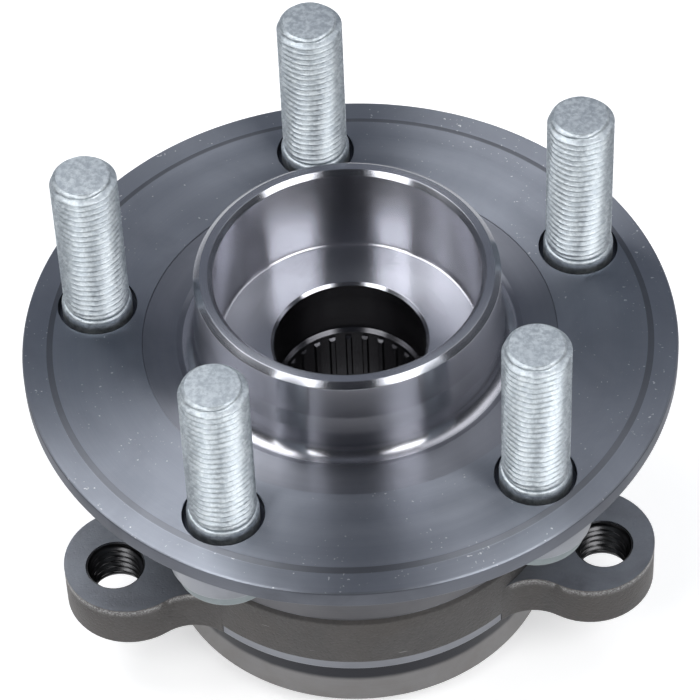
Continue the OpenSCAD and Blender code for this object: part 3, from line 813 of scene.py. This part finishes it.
for k in range(1, stud["chamferRows"]):
    share = k / stud["chamferRows"]
    r = stud["tip"] + (stud["major"] - stud["tip"]) * (1 - share)
    studCorners.append((r, high + stud["chamfer"] * share))
studCorners += [
    (stud["tip"], stud["top"]),
    (stud["tip"] - stud["dishEdge"], stud["top"] + stud["dish"]), (0, stud["top"] - stud["dish"]),
]
studData = turnedMesh("wheelStuds", studCorners, segments=stud["around"], closed=False)
studs = newObject("wheelStuds", studData)
threadAttribute(
    studData, stud["collar"] + stud["fadeFrom"], stud["top"] + stud["fadeFrom"],
    stud["fade"], stud["tip"] + stud["band"][0], stud["major"] + stud["band"][1],
)
studPlaces = [onCircle(hub["studCircle"], degrees) for degrees in studAngles]
threadedSet(studs, studPlaces, stud["pitch"], stud["depth"], "zincPlate")
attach(studs, "hub")
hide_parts(*[f"wheel_stud_{i + 1}" for i in range(hub["studs"])])

print("stage: spline")

# One tooth with bevelled ends, repeated round the bore.
teeth, given, result = geometryTree(
    "toothRing", {"Count": "Int", "Phase": "Float", "Finish": "Material"}
)
ring = teeth.add("GeometryNodeMeshCircle", Vertices=given["Count"], Radius=mm)
index = teeth.add("GeometryNodeInputIndex").outputs[0]
turn = teeth.times(teeth.math("DIVIDE", index, given["Count"]), 2 * math.pi)
turn = teeth.plus(turn, teeth.math("RADIANS", given["Phase"]))
centred = teeth.add("GeometryNodeSetPosition", Geometry=ring.outputs[0], Position=(0, 0, 0))
copies = teeth.add(
    "GeometryNodeInstanceOnPoints", Points=centred.outputs[0], Instance=given["Geometry"],
    Rotation=teeth.combine(Z=turn),
)
finishTree(teeth, given, result, copies)

spline = {
    "phase": -2.4,  # degrees
    # One flank: distance from the root circle or the tip circle, and share of half the pitch.
    "fromRoot": [(0.3, 0.76), (-0.12, 0.66)],
    "fromTip": [(0.75, 0.5), (0.15, 0.34), (0.0, 0.26)],
}
halfTooth = math.pi / hub["teeth"]
flank = [(hub["splineRoot"] + out, share) for out, share in spline["fromRoot"]]
flank += [(hub["splineTip"] + out, share) for out, share in spline["fromTip"]]
tooth = bmesh.new()
topRing, lowRing = [], []
for side, part in ((-1, flank), (1, flank[::-1])):
    for r, share in part:
        x = r * mm * math.cos(halfTooth * share)
        y = side * r * mm * math.sin(halfTooth * share)
        bevel = hub["splineRoot"] - r + hub["toothInset"]
        lowEnd = hub["splineEnd"] + hub["endBevel"] + bevel
        topRing.append(tooth.verts.new((x, y, (leadEnd - bevel) * mm)))
        lowRing.append(tooth.verts.new((x, y, lowEnd * mm)))
for k in range(len(topRing)):
    n = (k + 1) % len(topRing)
    tooth.faces.new((lowRing[k], lowRing[n], topRing[n], topRing[k]))
tooth.faces.new(topRing)
tooth.faces.new(lowRing[::-1])
bmesh.ops.recalc_face_normals(tooth, faces=tooth.faces)
splineTeeth = newObject("splineTeeth", meshData("splineTeeth", tooth))
values = {"Count": hub["teeth"], "Phase": spline["phase"], "Finish": finishes["boreSteel"]}
grow(splineTeeth, teeth.tree, values)
smoothSharp(splineTeeth, 30)
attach(splineTeeth, "hub")

print("stage: outer ring")

outer = {  # radii and heights in mm
    "front": -20.0, "end": -71.6, "collar": 44.2, "bodyFront": -40.4, "bodyRise": 1.0,
    "body": 45.0, "skirt": 3.0, "skirtDrop": 0.3, "skirtStep": 0.12,
    "face": -57.2, "pilot": 42.5, "reliefWidth": 1.0, "reliefDepth": 0.6, "endBevel": 0.8,
    "sealBore": 37.5, "sealBevel": 0.6, "openBore": 36.3, "land": 33.5, "sealSeat": 6.0,
    "ball": 6.4, "pitch": 30.5, "rowOut": -32.0, "rowIn": -58.0, "racewaySteps": 12,
    "ears": (-156.7, -23.3, 90.0), "earThick": 11.2, "earRoot": 40.0, "earInset": 0.98,
    "earTop": (2.7, 7), "earUnder": (0.6, 2),  # bevel and its segments
    "hole": 56.9, "noseCentre": 53.8, "nose": 13.9, "fillet": 9.8, "noseSteps": 18,
    "threadCrest": 5.1, "threadRoot": 5.95, "pitchM12": 1.75, "tapRows": 8, "tapAround": 56,
}
skirtTop = outer["face"] + outer["skirt"]
skirtRadius = outer["body"] - outer["skirtStep"]
relief = (outer["pilot"] + outer["reliefWidth"], outer["face"] + outer["reliefDepth"])
ringCorners = [  # r, z and the fillet there
    (outer["sealBore"] + outer["sealBevel"], outer["front"]),
    (outer["collar"], outer["front"], 0.8),
    (outer["collar"], outer["bodyFront"], 0.5),
    (outer["body"], outer["bodyFront"] - outer["bodyRise"], 1.0),
    (outer["body"], skirtTop),
    (skirtRadius, skirtTop - outer["skirtDrop"]),
    (skirtRadius, outer["face"], 0.9),
    (relief[0], outer["face"], 0.1),
    (*relief, 0.2),
    (outer["pilot"], relief[1], 0.2),
    (outer["pilot"], outer["end"] + outer["endBevel"], 0.2),
    (outer["pilot"] - outer["endBevel"], outer["end"], 0.2),
    (outer["sealBore"] + outer["sealBevel"], outer["end"]),
    (outer["sealBore"], outer["end"] + outer["sealBevel"]),
    (outer["sealBore"], outer["end"] + outer["sealSeat"]),
    (outer["openBore"], outer["end"] + outer["sealSeat"]),
]


def raceway(row, way):
    # Groove arc from the open bore to the shoulder.
    points = []
    openAngle = math.acos((outer["openBore"] - outer["pitch"]) / outer["ball"])
    landAngle = math.acos((outer["land"] - outer["pitch"]) / outer["ball"])
    for k in range(outer["racewaySteps"] + 1):
        turn = -openAngle + (openAngle + landAngle) * k / outer["racewaySteps"]
        r = outer["pitch"] + outer["ball"] * math.cos(turn)
        points.append((r, row + way * outer["ball"] * math.sin(turn)))
    return points


ringCorners += raceway(outer["rowIn"], 1)
ringCorners += raceway(outer["rowOut"], -1)[::-1]
ringCorners += [
    (outer["openBore"], outer["front"] - outer["sealSeat"]),
    (outer["sealBore"], outer["front"] - outer["sealSeat"]),
    (outer["sealBore"], outer["front"] - outer["sealBevel"]),
]
ringNames = [
    "forgedRing", "groundCollar", "turnedSkirt", "knucklePilot", "machinedRing", "blastedFace",
]


def ringZone(r, z, slack=0.1, corner=1.0):
    # The collar under the flange takes its painted shade finish.
    if r > outer["collar"] - corner and z > outer["bodyFront"] - slack:
        return "groundCollar"
    if r > outer["collar"] + slack and z > skirtTop - slack:
        return "forgedRing"
    if r > outer["pilot"] + corner / 2 and z > outer["face"] - slack:
        return "turnedSkirt"
    onPilot = r > outer["pilot"] - outer["endBevel"] - slack and z < relief[1] + slack
    return "knucklePilot" if onPilot else "machinedRing"


ringPiece = newObject("outerRing", turnedMesh("outerRing", ringCorners, ringZone, ringNames))


def earOutline(steps=14):
    # Half outline of an ear along +X, from its root on the body to the tip of its nose.
    reach = outer["body"] + outer["fillet"]
    toNose = outer["nose"] + outer["fillet"]
    centre = outer["noseCentre"]
    turn = math.acos((reach ** 2 + centre ** 2 - toNose ** 2) / (2 * reach * centre))
    filletAt = Vector((reach * math.cos(turn), reach * math.sin(turn)))
    start = math.atan2(-math.sin(turn), -math.cos(turn))
    endVector = Vector((centre, 0)) - filletAt
    end = math.atan2(endVector.y, endVector.x)
    points = []
    sweep = (end - start) % (2 * math.pi)
    for k in range(steps + 1):
        a = start + sweep * k / steps
        x = filletAt.x + outer["fillet"] * math.cos(a)
        points.append((x, filletAt.y + outer["fillet"] * math.sin(a)))
    noseStart = math.atan2(filletAt.y, filletAt.x - centre)
    for k in range(1, outer["noseSteps"] + 1):
        a = noseStart * (1 - k / outer["noseSteps"])
        points.append((centre + outer["nose"] * math.cos(a), outer["nose"] * math.sin(a)))
    return points


half = earOutline()
rootX, rootY = outer["earRoot"], half[0][1] * outer["earInset"]
outline = [(rootX, rootY)] + half + [(x, -y) for x, y in half[-2::-1]] + [(rootX, -rootY)]
topZ = outer["face"] + outer["earThick"]
for turn in outer["ears"]:
    ear = bmesh.new()
    low = [ear.verts.new((x * mm, y * mm, outer["face"] * mm)) for x, y in outline]
    high = [ear.verts.new((x * mm, y * mm, topZ * mm)) for x, y in outline]
    for k in range(len(outline)):
        n = (k + 1) % len(outline)
        ear.faces.new((low[k], low[n], high[n], high[k]))
    top = ear.faces.new(high)
    under = ear.faces.new(low[::-1])
    top.material_index = ringNames.index("blastedFace")
    for face, (offset, segments) in ((top, outer["earTop"]), (under, outer["earUnder"])):
        rounded = [e for e in face.edges if max(v.co.x for v in e.verts) > (rootX + 0.1) * mm]
        bmesh.ops.bevel(
            ear, geom=rounded, offset=offset * mm, segments=segments, affect="EDGES", profile=0.5
        )
    bmesh.ops.recalc_face_normals(ear, faces=ear.faces)
    spin = Matrix.Rotation(math.radians(turn), 3, "Z")
    bmesh.ops.rotate(ear, verts=ear.verts, matrix=spin)
    data = meshData("ear", ear)
    dress(data, ringNames)
    carve(ringPiece, newObject("ear", data), "UNION")  # its root ends inside the body's wall

# Tapped holes with a cone at each mouth.
tap = {
    "clear": 0.2, "cone": 1.2, "coneDepth": 0.3, "above": 1, "endInset": 0.9,
    "lip": 0.1, "lipInset": 0.3, "rim": 0.35, "fadeFrom": 0.5, "fade": 1.2, "band": 0.05,
}
holes = []
earPlaces = [onCircle(outer["hole"], turn) for turn in outer["ears"]]
for place in earPlaces:
    wide, narrow = outer["threadRoot"] + tap["cone"], outer["threadRoot"] + tap["clear"]
    corners = [
        (0, outer["face"] - tap["above"]), (wide, outer["face"] - tap["above"]),
        (narrow, outer["face"] + tap["coneDepth"]), (narrow, topZ - tap["coneDepth"]),
        (wide, topZ + tap["above"]), (0, topZ + tap["above"]),
    ]
    hole = turnedMesh("hole", corners, lambda r, z: "machinedRing", ringNames, 64, closed=False)
    hole.transform(Matrix.Translation(Vector(place) * mm))
    holes.append(newObject("hole", hole))
carve(ringPiece, joined("holes", holes))

# How near each point of the ears lies to a rubbed edge.
edgeBand = {"below": 0.8, "reach": 1.3, "outside": 0.3, "flat": 0.04}
edgeValues = []
for vertex in ringPiece.data.vertices:
    r = math.hypot(vertex.co.x, vertex.co.y) / mm
    z = vertex.co.z / mm
    onEar = r > outer["body"] + edgeBand["outside"] and z < topZ - edgeBand["flat"]
    near = 1 - abs(z - topZ + edgeBand["below"]) / edgeBand["reach"]
    edgeValues.append(max(0.0, near) if onEar else 0.0)
ringPiece.data.attributes.new("edge", "FLOAT", "POINT").data.foreach_set("value", edgeValues)
smoothSharp(ringPiece, 35)
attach(ringPiece, "outer_ring")
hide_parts("outer_ring")

# Tapped sleeves of the ear holes: their crests stand inward. Their steel is darkened as painted
# shade.
tapLow, tapHigh = outer["face"] + tap["endInset"], topZ - tap["endInset"]
lip, rim = outer["threadRoot"] + tap["lip"], outer["threadRoot"] + tap["rim"]
rows = int(outer["earThick"] / outer["pitchM12"] * outer["tapRows"])
tapped = [(rim, outer["face"] + tap["rim"]), (lip, outer["face"] + tap["lipInset"])]
tapped += [(outer["threadRoot"], tapLow + (tapHigh - tapLow) * k / rows) for k in range(rows + 1)]
tapped += [(lip, topZ - tap["lipInset"]), (rim, topZ - tap["rim"])]
sleeve = newObject("earThreads", turnedMesh("earThreads", tapped, segments=outer["tapAround"]))
threadAttribute(
    sleeve.data, outer["face"] + tap["fadeFrom"], topZ - tap["fadeFrom"], tap["fade"],
    outer["threadRoot"] - tap["band"], outer["threadRoot"] + tap["band"],
)
tapDepth = outer["threadRoot"] - outer["threadCrest"]
threadedSet(sleeve, earPlaces, outer["pitchM12"], tapDepth, "tappedSteel")
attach(sleeve, "outer_ring")

print("stage: inner pieces")

nodeFinishes = {
    "inner_ring": "groundSteel",
    "outboard_cage": "cageNylon", "inboard_cage": "cageNylon",
    "outboard_seal_case": "sealSheet", "inboard_seal_case": "sealSheet", "slinger": "sealSheet",
    "outboard_seal_lip": "sealRubber", "inboard_seal_lip": "sealRubber",
    "encoder_ring": "magnetRubber",
}
for name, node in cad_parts.items():
    finish = "polishedBall" if "_ball_" in name else nodeFinishes.get(name)
    if finish:
        for slot in node.material_slots:
            slot.material = finishes[finish]

print("stage: floor and light")

stage = {
    "floorDepth": -76.4, "floorSize": 6000.0,  # mm
    "paint": (0.8, 0.8, 0.8, 1), "roughness": 0.9, "glow": 0.55,
    "roomColour": (0.80, 0.86, 1.0, 1), "roomTilt": 0.6,
    "roomDepths": (0.12, 0.85), "roomLight": (0.04, 0.30),  # front and back
}
floorData = bpy.data.meshes.new("floor")
size = stage["floorSize"] * mm / 2
square = [(-size, -size, 0), (size, -size, 0), (size, size, 0), (-size, size, 0)]
floorData.from_pydata(square, [], [(0, 1, 2, 3)])
floorData.transform(Matrix.Translation((0, 0, stage["floorDepth"] * mm)))
floor = newObject("floor", floorData)
sheet, shader = newMaterial("floorPaint")
sheet.set(shader, "Base Color", stage["paint"])
sheet.set(shader, "Roughness", stage["roughness"])
rays = sheet.add("ShaderNodeLightPath").outputs
seen = sheet.math("MAXIMUM", rays["Is Camera Ray"], rays["Is Glossy Ray"])
seen = sheet.math("MAXIMUM", seen, rays["Is Transmission Ray"])
sheet.set(shader, "Emission Color", (1, 1, 1, 1))
sheet.set(shader, "Emission Strength", sheet.times(seen, stage["glow"]))
dress(floorData, ["floorPaint"])

# A room that is brighter behind and above the part than towards the camera.
world = bpy.data.worlds.new("studio")
world.use_nodes = True
sheet = Sheet(world.node_tree)
heading = sheet.split(sheet.place("Generated"))
depth = sheet.times(sheet.plus(heading[1], heading[2]), stage["roomTilt"])
room = world.node_tree.nodes["Background"]
sheet.set(room, "Color", stage["roomColour"])
strength = sheet.remap(depth, *stage["roomDepths"], *stage["roomLight"], smooth=True)
sheet.set(room, "Strength", strength)
scene.world = world

# Azimuth to the right of the camera, elevation, distance, width and height in mm, and power.
lamps = {
    "rightSoftbox": (46, 45, 900, 500, 420, 3.7),
    "leftSoftbox": (-41, 45, 900, 330, 420, 2.4),
    "farLeftSoftbox": (-112, 61, 900, 600, 480, 3.6),
    "farRightSoftbox": (122, 60, 900, 500, 480, 1.0),
}
for name, (azimuth, elevation, distance, width, height, power) in lamps.items():
    a, e = math.radians(azimuth), math.radians(elevation)
    out = distance * math.cos(e)
    place = (out * math.sin(a), -out * math.cos(a), distance * math.sin(e))
    data = bpy.data.lights.new(name, "AREA")
    data.shape = "RECTANGLE"
    data.size = width * mm
    data.size_y = height * mm
    data.energy = power
    lamp = bpy.data.objects.new(name, data)
    lamp.matrix_world = aimAt(place, (0, 0, 0))
    scene.collection.objects.link(lamp)
